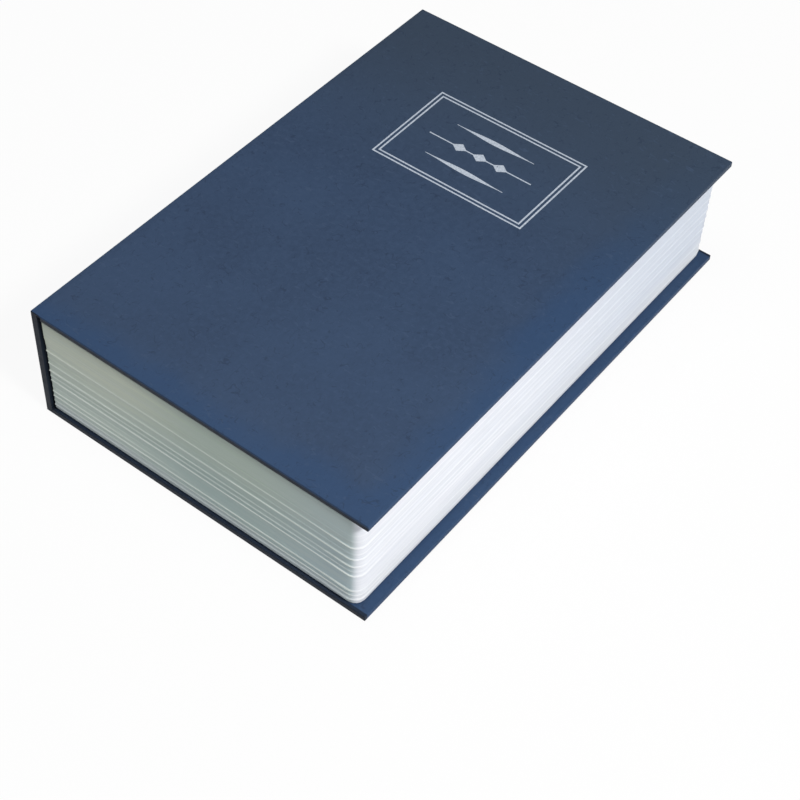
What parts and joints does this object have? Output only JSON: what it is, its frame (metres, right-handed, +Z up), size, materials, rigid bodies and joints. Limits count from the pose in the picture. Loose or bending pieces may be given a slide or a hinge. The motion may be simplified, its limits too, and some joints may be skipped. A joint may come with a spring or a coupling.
{
  "type": "book diversion safe",
  "caption": "Lockable steel cash box with a stepped lid, hidden inside the case and moulded page edges of a thick hardback book.",
  "frame": {"origin": "middle of the back cover's underside, where the closed book rests", "axes": "+X from the spine to the fore edge, +Y from the tail to the head, +Z up out of the front cover"},
  "size_m": [0.157, 0.238, 0.055],
  "materials": {
    "navy_covering_paper": "matt, fine fibre texture",
    "grey_board": "raw board",
    "white_paper": "smooth matt",
    "silver_foil": "stamped foil",
    "page_plastic": "ridged, matt",
    "grey_coated_steel": "satin grey coating",
    "plated_steel": "zinc plated",
    "lock_chrome": "polished",
    "lock_brass": "machined",
    "spring_steel": "drawn wire",
    "key_nickel": "nickel plated",
    "black_plastic": "moulded, satin"
  },
  "bodies": {
    "case": {"back_cover_paper": "navy_covering_paper", "back_board": "grey_board", "rear_endpaper": "white_paper", "spine_paper": "navy_covering_paper", "spine_board": "grey_board", "spine_lining": "white_paper", "cover_joint_paper": "navy_covering_paper", "inner_joint_paper": "white_paper", "page_edge_shell": "page_plastic", "steel_tray": "grey_coated_steel", "lid_rail": "grey_coated_steel", "lock_catch": "grey_coated_steel", "hinge_box_leaf": "grey_coated_steel", "hinge_pin": "plated_steel", "key_ring": "key_nickel", "key_1_head": "black_plastic", "key_1_blade": "key_nickel", "key_2_head": "black_plastic", "key_2_blade": "key_nickel"},
    "front_cover": {"front_cover_paper": "navy_covering_paper", "front_board": "grey_board", "front_endpaper": "white_paper", "foil_outer_rule": "silver_foil", "foil_inner_rule": "silver_foil", "foil_upper_swell": "silver_foil", "foil_diamond_band": "silver_foil", "foil_lower_swell": "silver_foil"},
    "lid": {"lid_panel": "grey_coated_steel", "hinge_lid_leaf": "grey_coated_steel", "lock_body": "lock_chrome", "lock_washer": "plated_steel", "lock_nut": "plated_steel"},
    "lock_cylinder": {"lock_plug": "lock_brass", "cam": "plated_steel", "cam_washer": "plated_steel", "cam_screw": "plated_steel", "wafer_1": "lock_brass", "wafer_2": "lock_brass", "wafer_3": "lock_brass", "wafer_4": "lock_brass", "wafer_5": "lock_brass", "wafer_spring_1": "spring_steel", "wafer_spring_2": "spring_steel", "wafer_spring_3": "spring_steel", "wafer_spring_4": "spring_steel", "wafer_spring_5": "spring_steel"}
  },
  "joints": [
    {"name": "cover_swing", "type": "hinge", "parent": "case", "child": "front_cover", "pos_m": [-0.0745, 0, 0.0551], "axis": [0, -1, 0], "range_deg": [0, 180], "deforming": ["cover_joint_paper", "inner_joint_paper"]},
    {"name": "lid_swing", "type": "hinge", "parent": "case", "child": "lid", "pos_m": [-0.0701, 0, 0.04505], "axis": [0, -1, 0], "range_deg": [0, 95]},
    {"name": "lock_turn", "type": "hinge", "parent": "lid", "child": "lock_cylinder", "pos_m": [0.032, 0, 0.0372], "axis": [0, 0, 1], "range_deg": [0, 90]}
  ],
  "couplings": [
    {"joint": "lid_swing", "follows": "cover_swing", "ratio": 0.52778}
  ]
}
